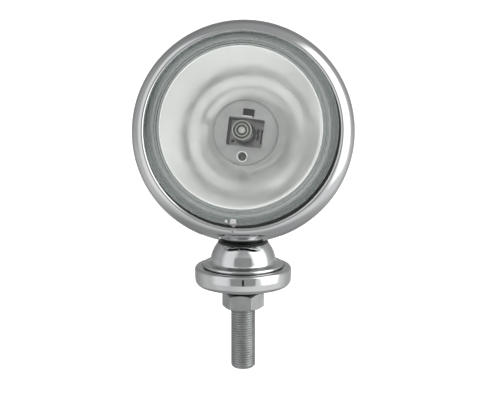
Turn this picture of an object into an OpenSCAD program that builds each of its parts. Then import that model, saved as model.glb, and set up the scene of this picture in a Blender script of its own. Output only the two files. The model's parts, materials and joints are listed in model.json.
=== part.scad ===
// Round chrome work lamp on a swivel base with a threaded mounting stud.
// The origin is the centre of the base disc's underside, +Z runs up the stud's axis,
// and the lamp faces -Y.

/* [Base] */
// Diameter of the base disc
disc_d = 50; // [48:0.5:52]
// Height of the base disc
disc_h = 9.5; // [9.3:0.1:9.8]
// Diameter of the dome's foot flange
dome_foot_d = 41.8; // [41:0.2:42.4]
// Radius of the dome's round top
dome_r = 17; // [16.8:0.1:17.3]
// Diameter of the dome's mouth
mouth_d = 23; // [22.6:0.1:23.2]

/* [Stud] */
// Major diameter of the mounting thread, 1/2 in
stud_d = 12.7; // [12:0.1:12.8]
// Length of stud below the disc
stud_len = 45; // [38:1:60]
// Height of the sprung lock washer
washer_t = 4.5; // [3.2:0.1:5]
// Hex nut across its flats, 3/4 in
nut_af = 19.05; // [18:0.05:20]
// Height of the hex nut
nut_h = 8.3; // [7.9:0.1:11.1]

/* [Swivel] */
// Diameter of the swivel ball under the shell
ball_d = 29.8; // [29.6:0.1:30]
// Height of the ball's centre above the disc's underside
pivot_z = 33.5; // [33.4:0.1:33.8]
// How far the head leans back, in degrees
head_tilt = 15; // [6:1:22]
// Distance from the lamp's axis down to the ball's centre
ball_drop = 45.2; // [45:0.1:46]

/* [Head] */
// Outer diameter of the trim ring, 4 1/2 in
rim_d = 114.3; // [114:0.1:115]
// Inner diameter of the trim ring
rim_inner_d = 100.4; // [100:0.1:100.8]
// Distance from the ball's axis to the front of the trim ring
rim_front = 21; // [20.8:0.1:21.4]
// Distance from the ball's axis to the back of the shell
shell_back = 52; // [50:0.5:56]
// Height of the flat at the ring's bottom, below the lamp's axis
ring_flat = 53.4; // [53:0.1:53.8]

/* [Lamp unit] */
// How far the lens and reflector sit above the ring's centre
unit_lift = 1.8; // [0:0.1:2]
// How far the lens and reflector sit to one side of the ring's centre
unit_shift = -1.1; // [-1.2:0.1:1.2]
// How far the lens and reflector are turned in the ring, in degrees
unit_clock = 6; // [-10:1:10]
// Diameter of the reflector's mouth
mirror_d = 82.4; // [82:0.2:83]
// Focal length of the reflector
focus = 11.6; // [11.4:0.1:11.8]
// Diameter of the bulb plate in the middle of the reflector
plate_d = 35; // [34.6:0.1:35.4]
// Diameter of the bulb's glass
bulb_d = 9.5; // [9:0.1:10]

/* [Hidden] */
$fn = 96;

fit = 0.05;             // running clearance, on the radius
gap = 0.3;              // clearance between pieces of different bodies
ball_r = ball_d / 2;
ball_wall = 1.5;
ball_inner_r = ball_r - ball_wall;
rim_r = rim_d / 2;

// Swivel travel, measured from a level lamp: leaning back is positive
tilt_back = 23;
tilt_fore = 0;
slot_w = 6.6;
bolt_r = 3;
bolt_half_angle = asin(bolt_r / ball_inner_r) + 0.5;

// Heights of the stack inside the dome
dome_mid_z = 11;
dome_wall = 1.6;
mouth_r = mouth_d / 2;
mouth_top_z = 22.8;
plate_top_z = 18.4;
clamp_t = 1.5;
spring_h = 2.4;
swivel_washer_t = 1;
swivel_nut_h = 4.6;
spring_top_z = plate_top_z - clamp_t;
washer_top_z = spring_top_z - spring_h;
nut_top_z = washer_top_z - swivel_washer_t;
bolt_end_z = nut_top_z - swivel_nut_h - 0.3;

// The free thread starts this far below the disc
free_top = washer_t + nut_h + 0.4;

// Radius of the stud's plain shank, which runs through the nut and the disc
shank_r = stud_d / 2 - 0.25;

// The disc's pocket for the stud's hex head
stud_head_z = 2.2;
stud_head_h = 5;
foot_seat_z = disc_h - 0.4;
foot_h = 2.3;

// Depths along the lamp's axis, from the ball's axis: front is negative
crest_y = -rim_front;
rim_wall = 1;
lip_y = crest_y + 3.8;

// The trim ring's section: a tight roll inside, then one wide arc out to the skirt
roll_r = 1.1;
roll_end = 22;
roll_x = rim_inner_d / 2 + roll_r;
roll_y = crest_y + roll_r;
arc_r = (rim_d / 2 - roll_x - roll_r * sin(roll_end)) / (1 - sin(roll_end));
arc_x = rim_d / 2 - arc_r;
arc_y = roll_y + (arc_r - roll_r) * cos(roll_end);
skirt_y = crest_y + 10.8;
flange_t = 1.2;
seat_y = crest_y + 9.2;
shell_wall = 1.2;
shell_front_y = -12;
shell_r = 56;
shell_edge_r = 57;
seat_inner_r = 51.5;

// Half the width of the cut in the shell's edge that clears the dome when the head nods forward
notch_half_w = 11.2;

// The sealed unit
lens_front_y = lip_y + 0.3;
lens_bulge = 2.5;
lens_t = 3;
lens_rim_t = 4.3;
lens_r = 50.3;
mirror_y = lens_front_y + lens_rim_t;
mirror_t = 0.8;
mirror_flange_r = 53.4;
mirror_r = mirror_d / 2;
vertex_y = mirror_y + pow(mirror_r, 2) / (4 * focus);
plate_r = plate_d / 2;
plate_y = vertex_y - pow(plate_r, 2) / (4 * focus);
plate_t = 1.5;
focus_y = vertex_y - focus;
pocket_w = 19;
pocket_h = 15;
pocket_wall = 0.8;
bulb_x = -0.8;
bulb_tip_y = focus_y - 9;
base_flange_y = focus_y + 18;
slot_x = 0.5;
slot_long = 6.2;
slot_high = 4.4;
screw_down = 12.8;

// ---- placing helpers ----

// Puts what is drawn on the lamp's own axes onto the leaning head
module on_head() {
    translate([0, 0, pivot_z])
        rotate([-head_tilt, 0, 0])
            translate([0, 0, ball_drop])
                children();
}

// Puts what is drawn on the unit's own axes into the head
module on_unit() {
    on_head()
        translate([unit_shift, 0, unit_lift])
            rotate([0, unit_clock, 0])
                children();
}

// Turns a profile of [radius, depth] points round the lamp's axis
module turned() {
    rotate([-90, 0, 0])
        rotate_extrude()
            children();
}

// A straight round bar along the lamp's axis between two depths
module bar_y(r, y0, y1) {
    translate([0, y0, 0])
        rotate([-90, 0, 0])
            cylinder(r = r, h = y1 - y0);
}

// Points of an ellipse's arc in a profile
function arc_pts(cx, cy, rx, ry, from, to, n = 8) =
    [for (i = [0 : n]) let (a = from + (to - from) * i / n) [cx + rx * cos(a), cy + ry * sin(a)]];

// Radius of the shell's bowl at a depth, less an inset
function bowl_r(y, inset = 0) =
    let (t = (y - shell_front_y) / (shell_back - inset - shell_front_y))
    (shell_r - inset) * sqrt(max(0, 1 - pow(max(0, t), 1.5)));

// Points along the bowl, closer together near its nose
function bowl_pts(y0, inset, n = 18) =
    [for (i = [0 : n]) let (y = y0 + (shell_back - inset - y0) * sin(90 * i / n))
        [bowl_r(y, inset), y]];

// Depth of the mirror at a radius
function mirror_at(r) = vertex_y - r * r / (4 * focus);

// ---- base ----

module base_disc() {
    color("lightgray") difference() {
        rotate_extrude()
            polygon(concat(
                [[0, 0]],
                arc_pts(disc_d / 2 - 1.8, 1.8, 1.8, 1.8, -90, 0, 6),
                arc_pts(disc_d / 2 - 3, disc_h - 3, 3, 3, 0, 90, 6),
                [[dome_foot_d / 2 + gap, disc_h], [dome_foot_d / 2 + gap, foot_seat_z],
                 [0, foot_seat_z]]));
        translate([0, 0, -1])
            cylinder(r = stud_d / 2 + fit, h = disc_h);
        translate([0, 0, stud_head_z])
            cylinder(r = nut_af / sqrt(3), h = disc_h, $fn = 6);
        dome_screw_places()
            dome_screw_shape();
    }
}

// The plain shank through the nut and the disc is thinner than the free thread
module mounting_stud() {
    chamfer = 1.2;
    free_len = stud_len - chamfer - free_top;
    color("silver") {
        translate([0, 0, -stud_len + chamfer])
            cylinder(r = stud_d / 2, h = free_len);
        translate([0, 0, -free_top - 0.01])
            cylinder(r = shank_r, h = free_top + stud_head_z + 0.01);
        translate([0, 0, -stud_len])
            cylinder(r1 = stud_d / 2 - chamfer, r2 = stud_d / 2, h = chamfer);
        translate([0, 0, stud_head_z])
            cylinder(r = nut_af / sqrt(3), h = stud_head_h, $fn = 6);
    }
}

module lock_washer() {
    color("dimgray") translate([0, 0, -washer_t]) difference() {
        cylinder(r = 9.6, h = washer_t);
        translate([0, 0, -1])
            cylinder(r = stud_d / 2 + fit, h = washer_t + 2);
        rotate([0, 0, 100])
            translate([0, -0.6, -1])
                cube([20, 1.2, washer_t + 2]);
    }
}

// A hex nut with both ends chamfered, standing on z = 0
module hex_nut(af, h, bore_r) {
    corner_r = af / sqrt(3);
    difference() {
        intersection() {
            cylinder(r = corner_r, h = h, $fn = 6);
            rotate_extrude()
                polygon([[0, 0], [af / 2 - 0.2, 0], [corner_r + 0.1, (corner_r - af / 2) * 0.6],
                         [corner_r + 0.1, h - (corner_r - af / 2) * 0.6], [af / 2 - 0.2, h],
                         [0, h]]);
        }
        translate([0, 0, -1])
            cylinder(r = bore_r, h = h + 2);
    }
}

module mounting_nut() {
    color("silver")
        translate([0, 0, -washer_t - nut_h])
            rotate([0, 0, -2])
                hex_nut(nut_af, nut_h, stud_d / 2 + fit);
}

module swivel_dome() {
    foot_r = dome_foot_d / 2;
    inner_r = dome_r - dome_wall;
    join_a = asin((14.7 - dome_mid_z) / dome_r);
    mouth_a = asin((mouth_top_z - dome_mid_z) / dome_r);
    color("gainsboro") difference() {
        rotate_extrude()
            polygon(concat(
                [[12.6, foot_seat_z]],
                arc_pts(foot_r - foot_h / 2, foot_seat_z + foot_h / 2, foot_h / 2, foot_h / 2,
                        -90, 90, 8),
                arc_pts(19.1, 13.7, 2.3, 2.3, 270, 180, 6),
                arc_pts(0, dome_mid_z, dome_r, dome_r, join_a, mouth_a, 12),
                arc_pts(mouth_r + 0.7, mouth_top_z - 0.55, 0.7, 0.7, 100, 180, 4),
                [[mouth_r, 21], [12.6, 21]]));
        translate([0, 0, dome_mid_z])
            sphere(r = inner_r);
        translate([0, 0, foot_seat_z - 1])
            cylinder(r = 13.8, h = dome_mid_z - foot_seat_z + 1);
        dome_screw_places()
            dome_screw_shape();
    }
}

module dome_screw_places() {
    for (a = [90, 210, 330])
        rotate([0, 0, a])
            translate([17.2, 0, 0])
                children();
}

// A countersunk screw driven up from the underside
module dome_screw_shape() {
    cylinder(r1 = 3, r2 = 1.5, h = 1.6);
    cylinder(r = 1.5, h = 11);
}

module dome_screws() {
    color("silver")
        dome_screw_places()
            difference() {
                dome_screw_shape();
                for (a = [0, 90])
                    rotate([0, 0, a])
                        translate([-1.6, -0.35, -1])
                            cube([3.2, 0.7, 1.9]);
            }
}

// ---- swivel ----

// The ball's black seat, with a brim that lies on the dome's lip
module seat_ring() {
    color("#181818") difference() {
        rotate_extrude()
            polygon([[6, plate_top_z], [12.6, plate_top_z], [11.9, 20.6], [mouth_r - fit, 20.9],
                     [mouth_r - fit, 22.97], [12.12, 22.97], [12.6, 22.56], [13, 22.13],
                     [13, 22.42], [12.45, 23.02], [12.1, 23.2], [6, 23.2]]);
        translate([0, 0, pivot_z])
            sphere(r = ball_r + fit);
    }
}

module clamp_plate() {
    color("slategray") translate([0, 0, spring_top_z]) difference() {
        cylinder(r1 = 13.9, r2 = 13.2, h = clamp_t);
        translate([0, 0, -1])
            cylinder(r = bolt_r + gap, h = clamp_t + 2);
    }
}

module swivel_bolt() {
    head_r = ball_inner_r - 0.1;
    head_plane = 10.8;
    neck = 6;
    neck_end_z = plate_top_z + 0.4;
    color("silver") union() {
        intersection() {
            translate([0, 0, pivot_z])
                sphere(r = head_r);
            translate([0, 0, pivot_z - 20])
                cylinder(r = 12, h = 20 - head_plane);
        }
        translate([-neck / 2, -neck / 2, neck_end_z])
            cube([neck, neck, pivot_z - head_plane - neck_end_z]);
        translate([0, 0, bolt_end_z])
            cylinder(r = bolt_r, h = neck_end_z - bolt_end_z);
    }
}

module swivel_spring() {
    dish_t = 0.7;
    half = spring_h / 2;
    color("dimgray") rotate_extrude() {
        polygon([[3.4, washer_top_z + half], [8, washer_top_z], [8, washer_top_z + dish_t],
                 [3.4, washer_top_z + half + dish_t * 0.7]]);
        polygon([[3.4, washer_top_z + half + dish_t * 0.7], [8, spring_top_z - dish_t],
                 [8, spring_top_z], [3.4, washer_top_z + half + dish_t * 1.4]]);
    }
}

module swivel_washer() {
    color("silver") translate([0, 0, nut_top_z]) difference() {
        cylinder(r = 8, h = swivel_washer_t);
        translate([0, 0, -1])
            cylinder(r = bolt_r + fit, h = swivel_washer_t + 2);
    }
}

module swivel_nut() {
    color("silver")
        translate([0, 0, nut_top_z - swivel_nut_h])
            hex_nut(10, swivel_nut_h, bolt_r);
}

// The hollow ball under the shell, slotted so that the head tilts round the bolt
module swivel_ball() {
    color("gainsboro") on_head() translate([0, 0, -ball_drop]) difference() {
        sphere(r = ball_r);
        sphere(r = ball_inner_r);
        translate([-20, -20, -3.8])
            cube([40, 40, 40]);
        translate([0, 0, ball_drop])
            bar_y(53.8, -40, -11.5);
        rotate([0, 90, 0])
            rotate([0, 0, tilt_fore - bolt_half_angle])
                rotate_extrude(angle = tilt_back - tilt_fore + 2 * bolt_half_angle)
                    translate([ball_inner_r - 3, -slot_w / 2])
                        square([8, slot_w]);
    }
}

// ---- head ----

module shell() {
    color("gainsboro") on_head() difference() {
        turned()
            polygon(concat(
                [[seat_inner_r, seat_y], [shell_r, seat_y], [shell_r, skirt_y],
                 [shell_edge_r, skirt_y], [shell_edge_r, skirt_y + flange_t]],
                bowl_pts(skirt_y + flange_t, 0),
                [for (i = [18 : -1 : 0]) bowl_pts(skirt_y + flange_t, shell_wall)[i]],
                [[seat_inner_r, skirt_y + flange_t]]));
        translate([0, 0, -ball_drop])
            sphere(r = ball_r);
        translate([-notch_half_w, -20, -70])
            cube([2 * notch_half_w, 20 + skirt_y + flange_t + 0.4, 70 - ring_flat]);
        bar_y(5.2, 40, 60);
    }
}

// The rolled trim ring, flattened at the bottom to clear the swivel
module trim_ring() {
    inner_arc_r = arc_r - rim_wall;
    color("gainsboro") on_head() difference() {
        turned()
            polygon(concat(
                [[rim_inner_d / 2, lip_y]],
                arc_pts(roll_x, roll_y, roll_r, roll_r, 180, 270, 6),
                arc_pts(arc_x, arc_y, arc_r, arc_r, 270 + roll_end, 360, 14),
                [[rim_r, skirt_y], [rim_r - rim_wall, skirt_y]],
                arc_pts(arc_x, arc_y, inner_arc_r, inner_arc_r, 360, 270 + roll_end, 14),
                [[rim_inner_d / 2 + rim_wall, roll_y + 0.6],
                 [rim_inner_d / 2 + rim_wall, lip_y]]));
        translate([-40, -40, -80])
            cube([80, 60, 80 - ring_flat]);
        translate([ring_screw_x, 0, -ring_screw_down]) {
            bar_y(0.8, crest_y - 2, lip_y + 1);
            bar_y(1.1 + fit, crest_y - 2, crest_y + 0.35);
        }
    }
}

ring_screw_x = -3.3;
ring_screw_down = 51.9;

module ring_screw() {
    color("silver")
        on_head()
            translate([ring_screw_x, 0, -ring_screw_down]) {
                bar_y(1.1, crest_y - 0.4, crest_y + 0.3);
                bar_y(0.8, crest_y, lip_y + 0.6);
            }
}

// A bright tongue that holds the lens against the ring's lip at the bottom
module ring_clip() {
    color("gainsboro")
        on_head()
            translate([0, lip_y - 0.2, 0])
                rotate([90, 0, 0])
                    linear_extrude(0.5)
                        polygon([[-6.1, -45.6], [-1, -45.6], [-1, -47.6], [-3.3, -49.9],
                                 [-5.6, -47.6]]);
}

module lens() {
    color("lightcyan", 0.35) on_unit() turned()
        polygon(concat(
            [for (i = [0 : 10]) let (r = lens_r * i / 10)
                [r, lens_front_y - lens_bulge * (1 - pow(i / 10, 2))]],
            [[lens_r, mirror_y], [mirror_r + 1.2, mirror_y], [mirror_r + 0.6, mirror_y - 0.8]],
            [for (i = [8 : -1 : 0]) let (r = (mirror_r + 0.4) * i / 8)
                [r, lens_front_y + lens_t - lens_bulge * (1 - pow(r / lens_r, 2))]]));
}

module lens_gasket() {
    color("#202020") on_unit() turned()
        polygon([[lens_r + 0.1, lens_front_y + 0.5], [mirror_flange_r - 1.4, lens_front_y + 0.5],
                 [mirror_flange_r, lens_front_y + 2], [mirror_flange_r, mirror_y],
                 [lens_r + 0.1, mirror_y]]);
}

module reflector() {
    steps = 14;
    color("whitesmoke") on_unit() turned()
        polygon(concat(
            [for (i = [0 : steps]) let (r = plate_r + (mirror_r - plate_r) * i / steps)
                [r, mirror_at(r)]],
            [[mirror_flange_r, mirror_y], [mirror_flange_r, mirror_y + mirror_t],
             [mirror_r + 1, mirror_y + mirror_t]],
            [for (i = [steps : -1 : 0]) let (r = plate_r + (mirror_r - plate_r) * i / steps)
                [r + mirror_t * 0.5, mirror_at(r) + mirror_t * 1.2]]));
}

// A plate with a box-shaped pocket behind it for the bulb's base
module bulb_plate() {
    pocket_end_y = base_flange_y - 0.1;
    pocket_depth = pocket_end_y - plate_y - plate_t;
    color("darkgray") on_unit() difference() {
        union() {
            bar_y(plate_r, plate_y, plate_y + plate_t);
            translate([-pocket_w / 2 - pocket_wall, plate_y + plate_t, -pocket_h / 2 - pocket_wall])
                cube([pocket_w + 2 * pocket_wall, pocket_depth, pocket_h + 2 * pocket_wall]);
        }
        translate([-pocket_w / 2, plate_y - 1, -pocket_h / 2])
            cube([pocket_w, pocket_depth + plate_t, pocket_h]);
        translate([bulb_x, 0, 0])
            bar_y(bulb_d / 2 + 1.6, plate_y, pocket_end_y + 1);
        translate([slot_x - slot_long / 2, plate_y - 1, pocket_h / 2 + pocket_wall])
            cube([slot_long, plate_t + 2, slot_high]);
        translate([0, 0, -screw_down])
            bar_y(1.5, plate_y - 1, plate_y + plate_t + 1);
    }
}

module bulb_glass() {
    wall = 0.9;
    r = bulb_d / 2;
    inner_tip_y = bulb_tip_y + 2.2;
    seal_y = focus_y + 7;
    color("lightcyan", 0.4) on_unit() translate([bulb_x, 0, 0]) turned()
        polygon(concat(
            [[0, bulb_tip_y]],
            arc_pts(r - 2.4, bulb_tip_y + 2.8, 2.4, 2.4, -90, 0, 6),
            [[r, seal_y + 1.6], [0, seal_y + 1.6], [0, seal_y], [r - wall, seal_y - 1]],
            arc_pts(r - 2.4, inner_tip_y + 1.8, 2.4 - wall, 2.4 - wall, 0, -90, 4),
            [[0, inner_tip_y]]));
}

module bulb_filament() {
    color("goldenrod") on_unit() translate([bulb_x, 0, 0]) {
        translate([-2.5, focus_y, 0])
            rotate([0, 90, 0])
                cylinder(r = 0.7, h = 5);
        for (x = [-2.2, 2.2])
            translate([x, 0, 0])
                bar_y(0.35, focus_y, focus_y + 6);
    }
}

module bulb_base() {
    cap_y = focus_y + 8.6;
    color("silver") on_unit() translate([bulb_x, 0, 0]) {
        bar_y(bulb_d / 2 + 1.2, cap_y, base_flange_y);
        translate([-8.4, base_flange_y, -6.8])
            cube([16.8, 0.6, 13.6]);
        bar_y(4, base_flange_y + 0.6, base_flange_y + 4);
    }
}

// A leaf spring from the screw, round the back of the bulb's base, to the slot
module bulb_strap() {
    back_y = base_flange_y + 0.6;
    plate_back_y = plate_y + plate_t;
    wall_z = pocket_h / 2 + pocket_wall;
    t = 0.6;
    strap_w = 5;
    boss_clear_r = 4.2;
    color("silver") on_unit() difference() {
        union() {
            translate([-strap_w / 2, 0, 0])
                rotate([90, 0, 90])
                    linear_extrude(strap_w)
                        polygon([[plate_back_y, -screw_down - 2.4], [plate_back_y, -wall_z],
                                 [back_y, -wall_z], [back_y, wall_z], [plate_y + 0.3, wall_z],
                                 [plate_y + 0.3, wall_z + t], [back_y + t, wall_z + t],
                                 [back_y + t, -wall_z - t], [plate_back_y + t, -wall_z - t],
                                 [plate_back_y + t, -screw_down - 2.4]]);
            translate([bulb_x, 0, 0])
                bar_y(boss_clear_r + 1.8, back_y, back_y + t);
        }
        translate([0, 0, -screw_down])
            bar_y(1.5, plate_back_y - 1, plate_back_y + 2);
        translate([bulb_x, 0, 0])
            bar_y(boss_clear_r, back_y - 1, back_y + 2);
    }
}

module strap_screw() {
    color("gainsboro") on_unit() translate([0, 0, -screw_down]) difference() {
        union() {
            bar_y(2.6, plate_y - 1.3, plate_y);
            bar_y(1.5, plate_y, plate_y + plate_t + 3);
        }
        translate([0, plate_y - 2, 0])
            rotate([-90, 0, 0])
                cylinder(r = 1.7, h = 1.4, $fn = 6);
    }
}

// The lead runs in one S bend from the bulb's base down to its terminal
lead_r = 1.2;
lead_y0 = base_flange_y + 4;
lead_run = 6;
lead_sink = 9;
lead_sides = 8;
lead_rings = 12;

function lead_pt(t) = [lead_y0 + lead_run * t, -lead_sink * (1 - cos(180 * t)) / 2];
function lead_ring(t) =
    let (p = lead_pt(t), slope = atan(lead_sink * 90 * PI / 180 * sin(180 * t) / lead_run))
    [for (k = [0 : lead_sides - 1]) let (a = 360 * k / lead_sides)
        [lead_r * cos(a), p[0] + lead_r * sin(a) * sin(slope), p[1] + lead_r * sin(a) * cos(slope)]];

module bulb_lead() {
    pts = [for (i = [0 : lead_rings]) each lead_ring(i / lead_rings)];
    last = lead_rings * lead_sides;
    color("#1c1c1c") on_unit() translate([bulb_x, 0, 0]) polyhedron(
        points = pts,
        faces = concat(
            [[for (k = [0 : lead_sides - 1]) k]],
            [for (i = [0 : lead_rings - 1], k = [0 : lead_sides - 1])
                let (a = i * lead_sides + k, b = i * lead_sides + (k + 1) % lead_sides)
                [a, a + lead_sides, b + lead_sides, b]],
            [[for (k = [lead_sides - 1 : -1 : 0]) last + k]]));
}

module lead_terminal() {
    color("tomato")
        on_unit()
            translate([bulb_x, 0, -lead_sink])
                bar_y(2, lead_y0 + lead_run, lead_y0 + lead_run + 5);
}

module grommet() {
    hole_r = 5.2;
    color("#1c1c1c") on_head() difference() {
        union() {
            bar_y(hole_r, shell_back - shell_wall - 2.6, shell_back + 2.2);
            bar_y(7.4, shell_back - shell_wall - 2.6, shell_back - shell_wall - 1);
            bar_y(7.4, shell_back, shell_back + 2);
        }
        bar_y(2.3, shell_back - 8, shell_back + 8);
    }
}

base_disc();
mounting_stud();
lock_washer();
mounting_nut();
swivel_dome();
dome_screws();
seat_ring();
clamp_plate();
swivel_bolt();
swivel_spring();
swivel_washer();
swivel_nut();
swivel_ball();
shell();
trim_ring();
ring_screw();
ring_clip();
lens();
lens_gasket();
reflector();
bulb_plate();
bulb_glass();
bulb_filament();
bulb_base();
bulb_strap();
strap_screw();
bulb_lead();
lead_terminal();
grommet();
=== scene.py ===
import json
import math

import bmesh
import bpy
from mathutils import Matrix, Vector, noise


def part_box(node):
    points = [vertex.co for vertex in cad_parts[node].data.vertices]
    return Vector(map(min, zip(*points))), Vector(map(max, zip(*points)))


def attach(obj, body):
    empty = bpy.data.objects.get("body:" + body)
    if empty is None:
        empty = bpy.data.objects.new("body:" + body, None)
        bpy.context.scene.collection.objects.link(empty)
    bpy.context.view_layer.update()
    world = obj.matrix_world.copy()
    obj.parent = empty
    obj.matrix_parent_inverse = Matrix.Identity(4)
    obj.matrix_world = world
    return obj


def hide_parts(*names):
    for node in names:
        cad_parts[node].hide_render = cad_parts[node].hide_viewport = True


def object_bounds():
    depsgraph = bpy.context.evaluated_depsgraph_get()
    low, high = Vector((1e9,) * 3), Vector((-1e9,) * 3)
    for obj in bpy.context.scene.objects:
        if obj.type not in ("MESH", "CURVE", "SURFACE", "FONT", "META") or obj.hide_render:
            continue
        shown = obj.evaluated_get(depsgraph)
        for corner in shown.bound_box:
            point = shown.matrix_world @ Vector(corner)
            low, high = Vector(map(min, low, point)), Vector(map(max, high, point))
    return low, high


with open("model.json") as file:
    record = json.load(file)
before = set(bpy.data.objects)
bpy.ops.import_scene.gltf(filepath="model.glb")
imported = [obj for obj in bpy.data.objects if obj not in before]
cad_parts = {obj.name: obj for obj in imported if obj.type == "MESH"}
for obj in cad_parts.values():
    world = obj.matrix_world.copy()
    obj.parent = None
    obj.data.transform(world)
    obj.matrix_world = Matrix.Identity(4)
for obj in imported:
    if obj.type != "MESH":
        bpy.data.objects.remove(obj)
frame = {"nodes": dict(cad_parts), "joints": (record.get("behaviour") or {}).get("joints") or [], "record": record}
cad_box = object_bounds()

MM = 0.001
TAU = 2 * math.pi
record = frame["record"]
rcos, rsin = math.cos, math.sin


# ---------- where things are: the leaning head, from the record's joint and mount ----------

def named(items, name):
    return next(i for i in items if i["name"] == name)


pivot = Vector(named(frame["joints"], "head_tilt")["pos_m"])
inlet = named(record["mounts"], "cable_inlet")
lamp_axis = Vector(inlet["axis"])
lean = math.atan2(-lamp_axis.z, lamp_axis.y)
lamp_up = Vector((0, rsin(lean), rcos(lean)))
ball_drop = (Vector(inlet["pos_m"]) - pivot).dot(lamp_up)
HEAD = Matrix.Translation(pivot) @ Matrix.Rotation(-lean, 4, "X") @ Matrix.Translation((0, 0, ball_drop))
UNIT_SHIFT, UNIT_LIFT, UNIT_CLOCK = -1.1, 1.8, math.radians(6)
UNIT = HEAD @ Matrix.Translation((UNIT_SHIFT * MM, 0, UNIT_LIFT * MM)) @ Matrix.Rotation(UNIT_CLOCK, 4, "Y")
ROW = Matrix.Identity(4)

# Depths along the lamp's axis in mm, front negative
CREST_Y = -21.0
RIM_R, RIM_INNER_R = 57.15, 50.2
LIP_Y = CREST_Y + 3.8
SKIRT_Y = CREST_Y + 10.8
RING_FLAT = 53.4
BALL_R = 14.9
LENS_Y, LENS_R, LENS_BULGE, LENS_T = -16.9, 50.3, 2.5, 3.0
MIRROR_Y, MIRROR_R, FOCUS = -12.6, 41.2, 11.6
VERTEX_Y = MIRROR_Y + MIRROR_R ** 2 / (4 * FOCUS)
PLATE_R = 17.5
PLATE_Y = VERTEX_Y - PLATE_R ** 2 / (4 * FOCUS)
FOCUS_Y = VERTEX_Y - FOCUS
BULB_X, BULB_R = -0.8, 4.75
BULB_TIP_Y = FOCUS_Y - 9
BASE_Y = FOCUS_Y + 18
SCREW_DOWN = 12.8
BOWL_FRONT, BOWL_DEPTH, BOWL_R, BOWL_WALL = -12.0, 64.0, 56.0, 1.2
CABLE_HOLE_R = 5.2

# Heights on the stud's axis in mm, from the disc's underside
DISC_R, DISC_TOP, DISC_POCKET_R = 25.0, 9.5, 11.0
DOME_R, DOME_MID, DOME_WALL, DOME_TOP, MOUTH_R = 17.0, 11.0, 1.6, 22.8, 11.5
SEAT_R = 12.6
STUD_R, STUD_BOTTOM, STUD_HEAD_Z, STUD_HEAD_H = 6.35, -45.0, 2.2, 5.0
SHANK_BOTTOM, SHANK_R = -13.2, 6.30
PITCH, HEX_AF = 1.27, 19.05
NUT_TOP, NUT_BOTTOM = -4.5, -12.8


# ---------- mesh helpers ----------

def arc(cx, cy, rx, ry, a0, a1, n=12):
    return [(cx + rx * rcos(math.radians(a0 + (a1 - a0) * i / n)),
             cy + ry * rsin(math.radians(a0 + (a1 - a0) * i / n))) for i in range(n + 1)]


def rounded(points, steps=5):
    """Rounds the corners of a closed outline. A point is (x, y) or (x, y, corner radius)."""
    out = []
    for i, point in enumerate(points):
        radius = point[2] if len(point) > 2 else 0
        p = Vector(point[:2])
        u = Vector(points[i - 1][:2]) - p
        v = Vector(points[(i + 1) % len(points)][:2]) - p
        if radius <= 0 or u.length < 1e-6 or v.length < 1e-6:
            out.append((p.x, p.y))
            continue
        half = u.angle(v) / 2
        if half > math.pi / 2 - 0.01:
            out.append((p.x, p.y))
            continue
        reach = min(radius / math.tan(half), u.length * 0.48, v.length * 0.48)
        u.normalize()
        v.normalize()
        r = reach * math.tan(half)
        c = p + (u + v).normalized() * (r / rsin(half))
        s, e = p + u * reach - c, p + v * reach - c
        a0 = math.atan2(s.y, s.x)
        turn = (math.atan2(e.y, e.x) - a0 + math.pi) % TAU - math.pi
        out += [(c.x + r * rcos(a0 + turn * k / steps), c.y + r * rsin(a0 + turn * k / steps))
                for k in range(steps + 1)]
    return out


def lathe_geometry(profile, segs, upright=False, closed=True, warp=None):
    """Turns (radius, height) points round Z if upright, else round the lamp's Y axis. Lengths in mm."""
    verts, rings = [], []

    def put(x, y, z):
        verts.append(warp(x, y, z) if warp else (x, y, z))
        return len(verts) - 1

    for r, h in profile:
        if r < 1e-5:
            rings.append([put(0, 0, h) if upright else put(0, h, 0)])
            continue
        row = []
        for k in range(segs):
            c, s = r * rcos(TAU * k / segs), r * rsin(TAU * k / segs)
            row.append(put(c, s, h) if upright else put(c, h, s))
        rings.append(row)
    faces = []
    count = len(rings)
    for i in range(count if closed else count - 1):
        a, b = rings[i], rings[(i + 1) % count]
        if len(a) == 1 and len(b) == 1:
            continue
        for k in range(segs):
            n = (k + 1) % segs
            if len(a) == 1:
                faces.append((a[0], b[k], b[n]))
            elif len(b) == 1:
                faces.append((a[k], b[0], a[n]))
            else:
                faces.append((a[k], b[k], b[n], a[n]))
    return verts, faces


def prism_geometry(outline, y0, y1):
    """A closed prism: an (x, z) outline between two depths."""
    n = len(outline)
    verts = [(x, y0, z) for x, z in outline] + [(x, y1, z) for x, z in outline]
    faces = [tuple(range(n)), tuple(range(2 * n - 1, n - 1, -1))]
    faces += [(i, (i + 1) % n, n + (i + 1) % n, n + i) for i in range(n)]
    return verts, faces


def wall_geometry(outer, inner, y0, y1):
    """A tube wall between two outlines that have the same number of points."""
    n = len(outer)
    verts = [(x, y, z) for y in (y0, y1) for o in (outer, inner) for x, z in o]
    faces = []
    for i in range(n):
        j = (i + 1) % n
        faces.append((i, j, 2 * n + j, 2 * n + i))
        faces.append((n + i, 3 * n + i, 3 * n + j, n + j))
        faces.append((i, n + i, n + j, j))
        faces.append((2 * n + i, 2 * n + j, 3 * n + j, 3 * n + i))
    return verts, faces


def rect(w, h, r, cx=0.0, cz=0.0):
    return rounded([(cx - w / 2, cz - h / 2, r), (cx + w / 2, cz - h / 2, r),
                    (cx + w / 2, cz + h / 2, r), (cx - w / 2, cz + h / 2, r)])


def circle(r, cx=0.0, cz=0.0, n=48):
    return [(cx + r * rcos(TAU * i / n), cz + r * rsin(TAU * i / n)) for i in range(n)]


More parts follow.
